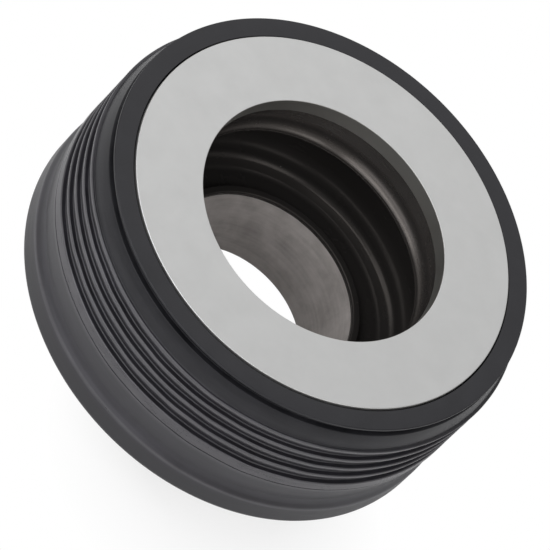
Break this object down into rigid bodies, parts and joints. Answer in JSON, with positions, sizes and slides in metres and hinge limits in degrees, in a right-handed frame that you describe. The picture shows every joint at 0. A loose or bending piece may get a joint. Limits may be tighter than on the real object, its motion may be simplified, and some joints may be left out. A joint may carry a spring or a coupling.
{
  "type": "axial face seal",
  "caption": "Axial face seal: a lapped metal ring in a ribbed rubber boot with a folded inner wall, on a steel bore sleeve with a hidden coil spring.",
  "frame": {"origin": "centre of the sleeve's foot, on the shaft axis", "axes": "+Z along the shaft axis, from the sleeve's foot towards the lapped face"},
  "size_m": [0.0962, 0.0962, 0.044],
  "materials": {
    "face_metal": "lapped matte",
    "boot_rubber": "satin, moulded",
    "hub_steel": "dull, phosphated",
    "spring_steel": "bright drawn",
    "washer_steel": "satin"
  },
  "bodies": {
    "hub": {"hub_sleeve": "hub_steel", "base_plate": "hub_steel", "rubber_boot": "boot_rubber", "coil_spring": "spring_steel"},
    "seal_head": {"seal_ring": "face_metal", "thrust_washer": "washer_steel"}
  },
  "joints": [
    {"name": "head_travel", "type": "slide", "parent": "hub", "child": "seal_head", "axis": [0, 0, 1], "range_m": [-0.003, 0], "stiffness_N_per_m": 8000, "springref_m": 0.0005, "deforming": ["rubber_boot", "coil_spring"]}
  ]
}
